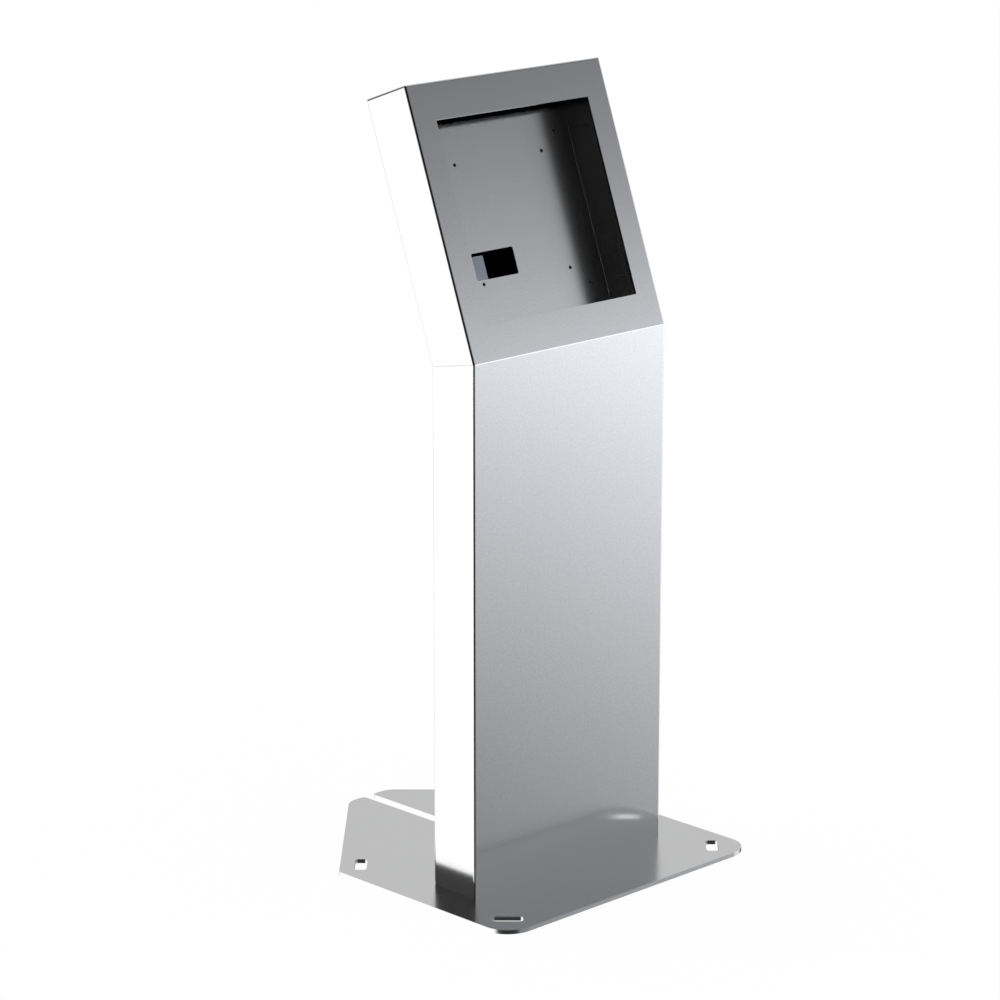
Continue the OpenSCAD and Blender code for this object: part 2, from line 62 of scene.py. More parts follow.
# Shader maths
class Reading:
    """A socket's value as a number in Python: each operation adds one Math node."""

    def __init__(self, board, socket):
        self.board = board
        self.socket = socket

    def maths(self, operation, *terms):
        return self.board.add("ShaderNodeMath", {"operation": operation}, dict(enumerate(terms)))

    def __add__(self, other):
        return self.maths("ADD", self, other)

    def __sub__(self, other):
        return self.maths("SUBTRACT", self, other)

    def __rsub__(self, other):
        return self.maths("SUBTRACT", other, self)

    def __mul__(self, other):
        return self.maths("MULTIPLY", self, other)

    def __truediv__(self, other):
        return self.maths("DIVIDE", self, other)

    def __rtruediv__(self, other):
        return self.maths("DIVIDE", other, self)

    def __pow__(self, other):
        return self.maths("POWER", self, other)

    def __rpow__(self, other):
        return self.maths("POWER", other, self)

    __radd__ = __add__
    __rmul__ = __mul__

    def at_least(self, low):
        return self.maths("MAXIMUM", self, low)

    def at_most(self, high):
        return self.maths("MINIMUM", self, high)

    def below(self, limit):
        return self.maths("LESS_THAN", self, limit)


class Board:
    """A node tree that is filled through one method."""

    def __init__(self, tree):
        self.tree = tree
        tree.nodes.clear()

    def add(self, kind, settings=None, inputs=None, output=0):
        """Adds a node, sets its settings, then its sockets by name or number, and returns one output."""
        node = self.tree.nodes.new(kind)
        for name, value in (settings or {}).items():
            if name == "stops":
                self.set_stops(node.color_ramp, value)
            else:
                setattr(node, name, value)
        for key, value in (inputs or {}).items():
            if isinstance(value, Reading):
                self.tree.links.new(value.socket, node.inputs[key])
            else:
                node.inputs[key].default_value = value
        return Reading(self, node.outputs[output]) if len(node.outputs) else node

    @staticmethod
    def set_stops(ramp, stops):
        while len(ramp.elements) < len(stops):
            ramp.elements.new(0.5)
        for element, (place, level) in zip(ramp.elements, stops):
            element.position = place
            element.color = (level, level, level, 1)

    def mix(self, share, first, second, blend_type="MIX"):
        """Colour between first, at a share of 0, and second, at 1."""
        first, second = (c if isinstance(c, Reading) else (*c, 1) for c in (first, second))
        settings = {"data_type": "RGBA", "blend_type": blend_type}
        return self.add("ShaderNodeMix", settings, {0: share, 6: first, 7: second}, 2)

    def light_path(self, name):
        return self.add("ShaderNodeLightPath", output=name)

    def place(self):
        """Where a point of the surface is on the pedestal, in metres."""
        return self.add("ShaderNodeTexCoord", output="Object")

    def stretched(self, place, *stretch):
        scaled = {0: place, 1: [1 / part for part in stretch]}
        return self.add("ShaderNodeVectorMath", {"operation": "MULTIPLY"}, scaled)

    def along(self, place, axis):
        return self.add("ShaderNodeVectorMath", {"operation": "DOT_PRODUCT"}, {0: place, 1: axis}, "Value")

    def noise(self, place, size, detail=2.0):
        """Soft random pattern from 0 to 1, whose lumps are about size metres wide."""
        return self.add("ShaderNodeTexNoise", None, {"Vector": place, "Scale": 1 / size, "Detail": detail})

    def bump(self, height):
        return self.add("ShaderNodeBump", None, {"Height": height, "Distance": 1.0, "Strength": 1.0})

    def finish(self, **sockets):
        """Ends a material in one Principled shader, whose sockets are given by name with _ for a space."""
        inputs = {name.replace("_", " "): value for name, value in sockets.items()}
        shader = self.add("ShaderNodeBsdfPrincipled", None, inputs)
        self.add("ShaderNodeOutputMaterial", None, {0: shader})


# The studio
# What bright metal sees on each side of the room: brightness against the sine of the height above the
# horizon. A softbox stands to the front right and a white wall to the rear left, and the side that the
# camera stands on is dark.
ROOM = {
    "front_right": [
        (-1, 0.2), (-0.42, 0.225), (-0.36, 0.245), (-0.331, 0.318), (-0.307, 0.45), (-0.284, 0.576),
        (-0.263, 0.64), (-0.243, 0.737), (-0.22, 1.0), (-0.18, 1.46), (-0.1, 1.6), (0.12, 1.5), (0.2, 1.25),
        (0.24, 1.04), (0.265, 0.825), (0.28, 0.655), (0.295, 0.505), (0.31, 0.38), (0.325, 0.309),
        (0.34, 0.256), (0.36, 0.2), (0.42, 0.155), (0.5, 0.12), (1, 0.5)],
    "rear_left": [
        (-1, 1.3), (-0.15, 1.36), (-0.05, 0.6), (0.15, 0.11), (0.3, 0.03), (0.5, 0.03), (0.65, 0.6), (1, 0.8)],
    "rear_right": [
        (-1, 0.2), (-0.3, 0.12), (-0.15, 0.3), (0.1, 0.6), (0.2, 0.66), (0.5, 0.66), (1, 0.6)],
    "front_left": [
        (-1, 0.25), (-0.5, 0.08), (-0.35, 0.03), (-0.25, 0.008), (0.5, 0.008), (0.75, 0.06), (1, 0.4)],
}
# Brightness at the top of the ramps' own scale
RAMP_TOP = 2.0
# How sharply one side of the room gives way to the next
SIDE_POWER = 12
# The softbox's edges slope: all of it below the horizon, SLOPE_LEAST of it above, and in between it grows
# downwards from this height
SLOPE_START, SLOPE_GROWTH, SLOPE_LEAST = 0.41, 1.58, 0.3
# The slope isn't carried on further than this towards the camera's side and towards the rear
SLOPE_SIDES = (-0.05, 0.2)
# Keeps the direction straight up or down from dividing by nothing
LEAST_SQUARE = 0.0001


def room_light(board, settings):
    """Brightness and colour of the room in each direction, as metal mirrors it."""
    direction = board.add("ShaderNodeTexCoord", output="Generated")
    x, y, z = (board.add("ShaderNodeSeparateXYZ", None, {0: direction}, axis) for axis in range(3))
    level = (1 - z * z).at_least(LEAST_SQUARE) ** 0.5
    to_right = (x - y) * math.sqrt(0.5) / level
    to_rear = (x + y) * math.sqrt(0.5) / level
    slope = ((SLOPE_START - z) * SLOPE_GROWTH).at_least(SLOPE_LEAST).at_most(1) * settings.softbox_tilt
    across = to_rear.at_least(SLOPE_SIDES[0]).at_most(SLOPE_SIDES[1])
    facing = {
        "front_right": to_right, "rear_left": to_right * -1, "rear_right": to_rear, "front_left": to_rear * -1,
    }
    light = weight = 0
    for side, stops in ROOM.items():
        height = z + across * slope if side == "front_right" else z
        stops = [((place + 1) / 2, brightness / RAMP_TOP) for place, brightness in stops]
        card = board.add("ShaderNodeValToRGB", {"stops": stops}, {0: height * 0.5 + 0.5})
        share = facing[side].at_least(0) ** SIDE_POWER
        light = share * card + light
        weight = share + weight
        if side == "front_right":
            cool = share
    tint = board.mix(cool / weight, (1, 1, 1), settings.softbox_tint)
    return board.mix(1.0, light / weight * RAMP_TOP, tint, "MULTIPLY")


def make_world(settings):
    world = bpy.data.worlds.new("studio_room")
    world.use_nodes = True
    # Each ray finds the room by itself, because bright metal and dull surfaces see it at different levels
    world.cycles.sampling_method = "NONE"
    board = Board(world.node_tree)
    # The camera sees plain white, dull surfaces an even light and bright metal the room's four sides
    seen = board.light_path("Is Camera Ray") + board.light_path("Is Transmission Ray")
    plain = seen * (1 - settings.room_level) + settings.room_level
    light = board.mix(board.light_path("Is Glossy Ray"), plain, room_light(board, settings))
    board.add("ShaderNodeOutputWorld", None, {0: board.add("ShaderNodeBackground", None, {0: light})})
    bpy.context.scene.world = world


def make_floor(settings):
    reach = settings.floor_size / 2
    mesh = bpy.data.meshes.new("studio_floor")
    mesh.from_pydata([(-reach, -reach, 0), (reach, -reach, 0), (reach, reach, 0), (-reach, reach, 0)], [],
                     [(0, 1, 2, 3)])
    floor = bpy.data.objects.new("studio_floor", mesh)
    bpy.context.scene.collection.objects.link(floor)
    material, board = new_finish("pale_floor")
    paper = board.add("ShaderNodeBsdfDiffuse", None, {0: (*settings.floor_colour, 1)})
    white = board.add("ShaderNodeEmission")
    seen = board.light_path("Is Camera Ray") * settings.floor_glow
    paper = board.add("ShaderNodeMixShader", None, {0: seen, 1: paper, 2: white})
    # Metal and glass see the room through the floor
    clear = board.add("ShaderNodeBsdfTransparent")
    mirrored = board.light_path("Is Glossy Ray") + board.light_path("Is Transmission Ray")
    shader = board.add("ShaderNodeMixShader", None, {0: mirrored, 1: paper, 2: clear})
    board.add("ShaderNodeOutputMaterial", None, {0: shader})
    mesh.materials.append(material)


SENSOR_WIDTH = 36
CLIP_END = 100


def make_camera(settings):
    data = bpy.data.cameras.new("photo_camera")
    data.lens = settings.focal_length
    data.sensor_width = SENSOR_WIDTH
    data.clip_end = CLIP_END
    camera = bpy.data.objects.new("photo_camera", data)
    camera.location = settings.camera_place
    camera.rotation_euler = Euler((math.pi / 2 - settings.camera_pitch, 0, -settings.camera_yaw))
    bpy.context.scene.collection.objects.link(camera)
    bpy.context.scene.camera = camera


# Finishes
def new_finish(name):
    material = bpy.data.materials.new(name)
    material.use_nodes = True
    return material, Board(material.node_tree)


def darker(colour, share):
    return [share * part for part in colour]


def dress(names, material):
    for name in names:
        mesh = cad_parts[name].data
        mesh.materials.clear()
        mesh.materials.append(material)


# How far the film on the head panel's inner side reaches into the panel
FILM_REACH = 0.5 * MM


def bright_sheet(name, finish, roughness, mottle=0.0, grain_direction=0.0, inner_film=False):
    """Bright stainless sheet with fine pits, upright streaks and slow clouds in its polish.

    The pits vary its shade by mottle, and grain_direction is how much its polish runs upright.
    """
    material, board = new_finish(name)
    place = board.place()
    pits = board.noise(place, finish.pit_size)
    streaks = board.noise(board.stretched(place, 1, 1, finish.streak_stretch), finish.streak_size)
    cloud = board.noise(place, finish.cloud_size, detail=3.0)
    dull = cloud * (2 * finish.roughness_spread) + (roughness - finish.roughness_spread)
    colour = board.mix(cloud, darker(finish.sheet_colour, finish.cloud_shade), finish.sheet_colour)
    colour = board.mix(1.0, colour, pits * mottle + (1 - mottle / 2), "MULTIPLY")
    if inner_film:
        inside = board.along(place, HEAD_BACK).below(KINK.dot(HEAD_BACK) + PANEL_DEPTH + FILM_REACH)
        colour = board.mix(inside, colour, finish.film_colour)
        dull = dull * (1 - inside * (1 - finish.film_gloss))
    board.finish(Base_Color=colour, Metallic=1.0, Roughness=dull, Anisotropic=grain_direction,
                 Normal=board.bump(pits * finish.pit_height + streaks * finish.streak_height))
    return material


def stand_in(title, mesh, name, body):
    """Adds a piece that rides on a body in the place of a node."""
    piece = bpy.data.objects.new(title, mesh)
    bpy.context.scene.collection.objects.link(piece)
    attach(piece, body)
    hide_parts(name)


# The grain of a polish turns about an upright line through the middle of the texture space, so on a leaning
# piece that line goes far away
GRAIN_MIDDLE = REAR * 100


def grained_copy(name, body, material):
    """Puts a copy in a leaning node's place, so that the grain of its polish runs upright all over."""
    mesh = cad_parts[name].data.copy()
    mesh.use_auto_texspace = False
    mesh.texspace_location = GRAIN_MIDDLE
    mesh.materials.clear()
    mesh.materials.append(material)
    stand_in("grained_" + name, mesh, name, body)


def galvanised_sheet(finish):
    """Zinc-coated sheet, whose crystals differ a little in shade and dullness."""
    darkest = 0.78
    least_rough, crystals_rough, frost_rough = 0.28, 0.16, 0.12
    frost_size, frost_height = 1.5 * MM, 0.006 * MM
    material, board = new_finish("galvanised_steel")
    place = board.place()
    scale = 1 / finish.crystal_size
    # The crystals' outlines stray by about their own width
    drift = board.add("ShaderNodeTexNoise", None, {"Vector": place, "Scale": scale}, "Color")
    uneven = board.mix(finish.crystal_size, place, drift)
    crystals = board.add("ShaderNodeTexVoronoi", None, {"Vector": uneven, "Scale": scale}, "Color")
    shade, lean = (board.add("ShaderNodeSeparateColor", None, {0: crystals}, part) for part in (0, 1))
    frost = board.noise(place, frost_size, detail=4.0)
    colour = board.mix(shade, darker(finish.zinc_colour, darkest), finish.zinc_colour)
    board.finish(Base_Color=colour, Metallic=1.0,
                 Roughness=lean * crystals_rough + frost * frost_rough + least_rough,
                 Normal=board.bump(frost * frost_height))
    return material


def hardware_steel(finish):
    """Plain stainless of screws, nuts and rivets, with turning marks and small spots."""
    darkest = 0.8
    least_rough, spots_rough, marks_rough = 0.2, 0.14, 0.06
    spot_size, mark_size, mark_height = 2.5 * MM, 0.35 * MM, 0.004 * MM
    material, board = new_finish("fastener_steel")
    place = board.place()
    spots = board.noise(place, spot_size, detail=3.0)
    marks = board.noise(place, mark_size)
    colour = board.mix(spots, darker(finish.hardware_colour, darkest), finish.hardware_colour)
    board.finish(Base_Color=colour, Metallic=1.0,
                 Roughness=spots * spots_rough + marks * marks_rough + least_rough,
                 Normal=board.bump(marks * mark_height))
    return material


def plain_brass(finish):
    """Brass that has browned in patches."""
    browning = (0.62, 0.5, 0.42)
    most_rough, patches_smooth = 0.42, 0.16
    patch_size, mark_size, mark_height = 4 * MM, 0.4 * MM, 0.004 * MM
    material, board = new_finish("brass")
    place = board.place()
    patches = board.noise(place, patch_size, detail=5.0)
    browned = [part * share for part, share in zip(finish.brass_colour, browning)]
    colour = board.mix(patches, browned, finish.brass_colour)
    board.finish(Base_Color=colour, Metallic=1.0, Roughness=most_rough - patches * patches_smooth,
                 Normal=board.bump(board.noise(place, mark_size) * mark_height))
    return material


def moulded(name, colour, roughness, pore_size, pore_height, specular):
    """Rubber or plastic with a fine pored skin and a faint uneven shade."""
    darkest, shade_size = 0.82, 20 * MM
    pores_rough = 0.1
    material, board = new_finish(name)
    place = board.place()
    pores = board.noise(place, pore_size, detail=4.0)
    shade = board.mix(board.noise(place, shade_size, detail=3.0), darker(colour, darkest), colour)
    board.finish(Base_Color=shade, Roughness=pores * pores_rough + (roughness - pores_rough / 2),
                 Specular_IOR_Level=specular, Normal=board.bump(pores * pore_height))
    return material


# Fasteners
# Corners of a node that agree to a thousandth of a millimetre belong to one solid
SAME_DIGITS = 6
# Facets around a fastener, rings along a turn of its thread, and the least angle that shades as an edge
FACETS = 24
RINGS_PER_TURN = 6
SHARP_ANGLE = math.radians(28)
# Pitch and depth of a thread, as shares of its radius and of its pitch
PITCH, LEAST_PITCH, THREAD_DEPTH = 0.3, 0.05 * MM, 0.61
# A hexagon's corners and height on a bolt, in thread diameters
HEX_REACH, BOLT_HEAD = 0.925, 0.65
# Rings of the round face under a bolt's head and the start of its sides, as shares of its inner radius
BEARING_FACE, SIDES_START = [(0, 0.95), (0.05, 0.97)], 0.06
# Rim and corners of a flange nut in thread radii, and its flange's share of its height
FLANGE_REACH, FLANGE_HEX, FLANGE_HEIGHT = 2.15, 1.8, 0.25
# Rings of that flange, in shares of its height and of its reach
FLANGE_EDGE = [(0, 0.97), (0.25, 1), (0.6, 1)]
WELD_NUT_BORE = 2.5 * MM
# Space between a thread and the bore on it, and how far a bore's mouth opens up, as a share of its radius
BORE_GAP, BORE_MOUTH = 0.05 * MM, 0.12
# Height of a hexagon's chamfer and radius of the round face above it, as shares of its inner radius
CHAMFER, ROUND_FACE = 0.16, 0.96
# Reach and height of a socket screw's head in thread diameters
SCREW_REACH, SCREW_RISE = 0.95, 0.55
# Rings of that head up to its flat top, in shares of its height and of its reach. Its dome draws in slowly at
# first
DOME_DRAW, DOME_POWER = 0.24, 2.2
SCREW_HEAD = [(0, 0.93), (0.06, 1)]
SCREW_HEAD += [(height, 1 - DOME_DRAW * height ** DOME_POWER) for height in (0.3, 0.5, 0.7, 0.85, 0.96)]
SCREW_HEAD += [(1, 0.7)]
# Reach of the socket in thread diameters, and its rings as depths in thread diameters and shares of its reach
SOCKET_REACH = 0.3
SOCKET_MOUTH, SOCKET_START, SOCKET_END, SOCKET_TIP = (0, 1.08), 0.03, 0.3, (0.36, 0.3)


def solids_of(name):
    """Corners of each separate solid in a node."""
    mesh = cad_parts[name].data
    keys = [tuple(round(part, SAME_DIGITS) for part in vertex.co) for vertex in mesh.vertices]
    owner = {key: key for key in keys}

    def first(key):
        while owner[key] != key:
            owner[key] = owner[owner[key]]
            key = owner[key]
        return key

    for face in mesh.polygons:
        start = first(keys[face.vertices[0]])
        for corner in face.vertices[1:]:
            owner[first(keys[corner])] = start
    solids = {}
    for key in owner:
        solids.setdefault(first(key), []).append(Vector(key))
    return list(solids.values())


def seat_of(corners, axis):
    """Matrix of a fastener's low end, with Z along its axis and X to its widest corner; reach and length."""
    aside = axis.orthogonal().normalized()
    middle = Vector()
    for sideways in (aside, axis.cross(aside)):
        spots = [corner.dot(sideways) for corner in corners]
        middle += sideways * (min(spots) + max(spots)) / 2
    flat = [corner - axis * corner.dot(axis) - middle for corner in corners]
    widest = max(flat, key=lambda spot: round(spot.length, SAME_DIGITS))
    heights = [corner.dot(axis) for corner in corners]
    aside = widest.normalized()
    matrix = Matrix((aside, axis.cross(aside), axis)).transposed().to_4x4()
    matrix.translation = middle + axis * min(heights)
    return matrix, widest.length, max(heights) - min(heights)


def hexagon(reach):
    """Radius of a hexagon with its corners at reach, for each turn about its axis."""
    sixth = math.pi / 3
    return lambda turn: reach * math.cos(sixth / 2) / math.cos(turn % sixth - sixth / 2)


def inside_hexagon(reach):
    return reach * math.cos(math.pi / 6)


def thread(start, end, radius):
    """Rings of a screw thread that runs out at both ends, from a chamfered tip at start."""
    pitch = PITCH * radius + LEAST_PITCH
    depth = THREAD_DEPTH * pitch
    rings = [(start, radius - depth)]
    count = round((end - start - depth) / pitch * RINGS_PER_TURN)
    for step in range(count + 1):
        height = start + depth + (end - start - depth) * step / count
        fade = min(1, step / RINGS_PER_TURN, (count - step) / RINGS_PER_TURN)

        def groove(turn, height=height, fade=fade):
            return radius - depth * fade * abs(2 * ((height / pitch - turn / math.tau) % 1) - 1)

        rings.append((height, groove))
    return rings


def stud(reach, length):
    """Welded stud with its foot below and its chamfered tip above."""
    return [(length - height, radius) for height, radius in reversed(thread(0, length, reach))]


def hex_head(reach, low, high):
    """Hexagon with a round bearing face below and a chamfer above."""
    flat = inside_hexagon(reach)
    face = [(low + rise * flat, share * flat) for rise, share in BEARING_FACE]
    return face + [(low + SIDES_START * flat, hexagon(reach)), (high - CHAMFER * flat, hexagon(reach)),
                   (high, ROUND_FACE * flat)]


def bolt(reach, length):
    """Hexagon bolt with its tip below."""
    diameter = reach / HEX_REACH
    head = length - BOLT_HEAD * diameter
    return thread(0, head, diameter / 2) + hex_head(reach, head, length)


def socket_screw(reach, length):
    """Round-headed screw with a hexagon socket, its tip below."""
    diameter = reach / SCREW_REACH
    rise = SCREW_RISE * diameter
    head = length - rise
    rings = thread(0, head, diameter / 2) + [(head + rise * part, reach * share) for part, share in SCREW_HEAD]
    socket = SOCKET_REACH * diameter
    sides = hexagon(socket)
    (mouth, mouth_share), (tip, tip_share) = SOCKET_MOUTH, SOCKET_TIP
    return rings + [(length - depth * diameter, radius) for depth, radius in (
        (mouth, mouth_share * socket), (SOCKET_START, sides), (SOCKET_END, sides), (tip, tip_share * socket))]


def bored(rings, radius, height):
    """Carries the rings of a nut on through its bore, with both mouths opened up."""
    mouth = BORE_MOUTH * radius
    return rings + [(height, radius + mouth), (height - mouth, radius), (mouth, radius), (0, radius + mouth)]


def hex_nut(reach, height, bore):
    flat = inside_hexagon(reach)
    chamfer = CHAMFER * flat
    return bored([(0, ROUND_FACE * flat), (chamfer, hexagon(reach)), (height - chamfer, hexagon(reach)),
                  (height, ROUND_FACE * flat)], bore, height)


def plain_nut(reach, height):
    return hex_nut(reach, height, reach / (2 * HEX_REACH) + BORE_GAP)


def weld_nut(reach, height):
    return hex_nut(reach, height, WELD_NUT_BORE)


def flange_nut(reach, height):
    corner = reach * FLANGE_HEX / FLANGE_REACH
    flat = inside_hexagon(corner)
    collar = FLANGE_HEIGHT * height
    sides = hexagon(corner)
    rings = [(rise * collar, share * reach) for rise, share in FLANGE_EDGE]
    rings += [(collar, sides), (height - CHAMFER * flat, sides), (height, ROUND_FACE * flat)]
    return bored(rings, reach / FLANGE_REACH + BORE_GAP, height)


def skin(rings, matrix, closed_loop):
    """Corners and faces through the rings. A nut's last ring meets its first, other ends are capped."""
    corners, faces = [], []
    for height, radius in rings:
        for facet in range(FACETS):
            turn = math.tau * facet / FACETS
            reach = radius(turn) if callable(radius) else radius
            corners.append(matrix @ Vector((reach * math.cos(turn), reach * math.sin(turn), height)))
    for ring in range(len(rings) if closed_loop else len(rings) - 1):
        low, high = ring * FACETS, (ring + 1) % len(rings) * FACETS
        for facet in range(FACETS):
            after = (facet + 1) % FACETS
            faces.append((low + facet, low + after, high + after, high + facet))
    if not closed_loop:
        faces.append(tuple(reversed(range(FACETS))))
        faces.append(tuple(range(len(corners) - FACETS, len(corners))))
    return corners, faces


def turn_fasteners(name, shape, axis, body, material):
    """Puts finely shaped fasteners in the place of a node's plain ones."""
    corners, faces = [], []
    for solid in solids_of(name):
        matrix, reach, length = seat_of(solid, axis(solid) if callable(axis) else axis)
        more_corners, more_faces = skin(shape(reach, length), matrix, shape in NUTS)
        faces += [tuple(len(corners) + corner for corner in face) for face in more_faces]
        corners += more_corners
    mesh = bpy.data.meshes.new("turned_" + name)
    mesh.from_pydata(corners, [], faces)
    mesh.materials.append(material)
    mesh.shade_smooth()
    mesh.set_sharp_from_angle(angle=SHARP_ANGLE)
    stand_in("turned_" + name, mesh, name, body)


def inwards(corners):
    """Direction from the nearer side wall to the middle of the column."""
    return RIGHT if sum(corner.x for corner in corners) < 0 else -RIGHT


NUTS = (plain_nut, weld_nut, flange_nut)
# Shape and axis of each kind of turned fastener on the pedestal's steel
FASTENERS = {
    "base_studs": (stud, UP),
    "base_nuts": (plain_nut, UP),
    "joint_bolts": (bolt, JOINT_AXIS),
    "joint_nuts": (flange_nut, -JOINT_AXIS),
    "tray_studs": (stud, HEAD_BACK),
    "tray_nuts": (flange_nut, HEAD_BACK),
    "inner_weld_nuts": (weld_nut, HEAD_BACK),
    "outer_weld_nuts": (weld_nut, HEAD_BACK),
    "bar_studs": (stud, inwards),
    "bar_nuts": (flange_nut, inwards),
    "earth_stud": (stud, RIGHT),
}
UPRIGHT_SHEETS = ("column_shell", "column_cover")
FRAMES = ("foot_frame", "front_channel", "column_joint_plate", "head_joint_plate", "cable_bar", "cover_rib")
SEALS = ("tray_gasket", "head_panel_seal", "cover_seal")
PLAIN_HARDWARE = ("base_washers", "panel_rivets", "rivet_nuts")


class PedestalFinish(bpy.types.PropertyGroup):
    """Colours and polish"""

    sheet_colour: bpy.props.FloatVectorProperty(
        name="Sheet colour", description="Colour of the bright stainless sheet", subtype="COLOR",
        default=(0.765, 0.767, 0.77), min=0, max=1)
    shell_roughness: bpy.props.FloatProperty(
        name="Shell roughness", description="Mean roughness of the column and its cover", default=0.15, min=0,
        max=1, subtype="FACTOR")
    head_roughness: bpy.props.FloatProperty(
        name="Head roughness", description="Mean roughness of the head and its panel", default=0.115, min=0,
        max=1, subtype="FACTOR")
    plate_roughness: bpy.props.FloatProperty(
        name="Plate roughness", description="Mean roughness of the base plate", default=0.205, min=0, max=1,
        subtype="FACTOR")
    tray_roughness: bpy.props.FloatProperty(
        name="Tray roughness", description="Mean roughness of the mounting tray", default=0.187, min=0, max=1,
        subtype="FACTOR")
    tray_direction: bpy.props.FloatProperty(
        name="Tray grain", description="How much the polish of the tray runs upright", default=0.75, min=0,
        max=1, subtype="FACTOR")
    roughness_spread: bpy.props.FloatProperty(
        name="Roughness spread", description="How far the roughness strays from its mean", default=0.003,
        precision=4, min=0)
    grain_direction: bpy.props.FloatProperty(
        name="Upright grain", description="How much the polish of the column runs upright", default=0.75, min=0,
        max=1, subtype="FACTOR")
    pit_size: bpy.props.FloatProperty(
        name="Pit size", description="Width of the fine pits", default=3.6 * MM, precision=5, unit="LENGTH")
    pit_height: bpy.props.FloatProperty(
        name="Pit height", description="Depth of the fine pits", default=0.012 * MM, precision=7, unit="LENGTH")
    mottle: bpy.props.FloatProperty(
        name="Mottle", description="How much the pits vary the column's shade", default=0.17, min=0, max=1,
        subtype="FACTOR")
    head_mottle: bpy.props.FloatProperty(
        name="Head mottle", description="How much the pits vary the shade of the head and its tray",
        default=0.065, min=0, max=1, subtype="FACTOR")
    streak_size: bpy.props.FloatProperty(
        name="Streak width", description="Width of the upright streaks", default=0.9 * MM, precision=5,
        unit="LENGTH")
    streak_height: bpy.props.FloatProperty(
        name="Streak height", description="Depth of the upright streaks", default=0.0004 * MM, precision=7,
        unit="LENGTH")
    streak_stretch: bpy.props.FloatProperty(
        name="Streak length", description="Length of the upright streaks against their width", default=30,
        min=1)
    cloud_size: bpy.props.FloatProperty(
        name="Cloud size", description="Width of the slow clouds in the polish", default=0.12, unit="LENGTH")
    cloud_shade: bpy.props.FloatProperty(
        name="Cloud shade", description="Share of the colour that the darkest clouds keep", default=0.985,
        min=0, max=1, subtype="FACTOR")
    film_colour: bpy.props.FloatVectorProperty(
        name="Film colour", description="Colour of the rear panel's inner side", subtype="COLOR",
        default=(0.425, 0.467, 0.522), min=0, max=1)
    film_gloss: bpy.props.FloatProperty(
        name="Film gloss", description="Roughness of the inner side against the outer side's", default=0.3,
        min=0, max=1, subtype="FACTOR")
    zinc_colour: bpy.props.FloatVectorProperty(
        name="Zinc colour", description="Colour of the galvanised frames", subtype="COLOR",
        default=(0.62, 0.64, 0.66), min=0, max=1)
    crystal_size: bpy.props.FloatProperty(
        name="Crystal size", description="Width of the zinc's crystals", default=9 * MM, unit="LENGTH")
    hardware_colour: bpy.props.FloatVectorProperty(
        name="Hardware colour", description="Colour of screws, nuts and rivets", subtype="COLOR",
        default=(0.68, 0.68, 0.69), min=0, max=1)
    brass_colour: bpy.props.FloatVectorProperty(
        name="Brass colour", description="Colour of the earth terminal", subtype="COLOR",
        default=(0.82, 0.64, 0.32), min=0, max=1)
    rubber_colour: bpy.props.FloatVectorProperty(
        name="Rubber colour", description="Colour of the seals", subtype="COLOR",
        default=(0.022, 0.022, 0.024), min=0, max=1)
    # The strip's near-black colour is painted shade, standing in for the dark gap under the tray's top side
    shade_strip_colour: bpy.props.FloatVectorProperty(
        name="Strip colour", description="Colour of the soft strip in the tray", subtype="COLOR",
        default=(0.0015, 0.0015, 0.0016), min=0, max=1)
    nylon_colour: bpy.props.FloatVectorProperty(
        name="Nylon colour", description="Colour of the screws' washers", subtype="COLOR",
        default=(0.8, 0.78, 0.71), min=0, max=1)


class PedestalStudio(bpy.types.PropertyGroup):
    """Room, floor and camera"""

    camera_place: bpy.props.FloatVectorProperty(
        name="Camera", description="Where the camera stands", subtype="TRANSLATION", unit="LENGTH",
        default=(-3.6432, -3.7169, 1.9107))
    camera_yaw: bpy.props.FloatProperty(
        name="Camera turn", description="Turn of the view from +Y towards +X", unit="ROTATION",
        default=math.radians(44.481))
    camera_pitch: bpy.props.FloatProperty(
        name="Camera dip", description="How far the view dips below the horizon", unit="ROTATION",
        default=math.radians(14.972))
    focal_length: bpy.props.FloatProperty(
        name="Focal length", description="Focal length in millimetres on a 36 mm sensor", default=136.56)
    floor_size: bpy.props.FloatProperty(
        name="Floor size", description="Length of the floor's sides", default=60, unit="LENGTH")
    floor_colour: bpy.props.FloatVectorProperty(
        name="Floor colour", description="Colour of the floor", subtype="COLOR", default=(0.97, 0.97, 0.97))
    floor_glow: bpy.props.FloatProperty(
        name="Floor glow", description="Share of plain white in what the camera sees of the floor",
        default=0.95, min=0, max=1, subtype="FACTOR")
    room_level: bpy.props.FloatProperty(
        name="Room light", description="Strength of the soft light that falls on dull surfaces", default=1.0,
        min=0)
    softbox_tint: bpy.props.FloatVectorProperty(
        name="Softbox tint", description="Colour of the light that the metal mirrors to the front right",
        subtype="COLOR", default=(0.955, 0.98, 1.02))
    softbox_tilt: bpy.props.FloatProperty(
        name="Softbox tilt", description="Slope of the softbox's lower edge", default=0.6)


class PEDESTAL_OT_stage(bpy.types.Operator):
    """Makes the floor, the room's light and the camera"""

    bl_idname = "pedestal.stage"
    bl_label = "Stage"

    def execute(self, context):
        settings = context.scene.pedestal_studio
        make_world(settings)
        make_floor(settings)
        make_camera(settings)
        context.scene.view_settings.view_transform = "Standard"
        return {"FINISHED"}


class PEDESTAL_OT_shells(bpy.types.Operator):
    """Finishes the bright folded sheets of the column, the head and the rear cover"""

    bl_idname = "pedestal.shells"
    bl_label = "Shells and rear cover"

    def execute(self, context):
        finish = context.scene.pedestal_finish
        dress(UPRIGHT_SHEETS, bright_sheet("polished_stainless", finish, finish.shell_roughness, finish.mottle,
                                           finish.grain_direction))
        dress(("head_shell",), bright_sheet("head_stainless", finish, finish.head_roughness,
                                            finish.head_mottle))
        return {"FINISHED"}


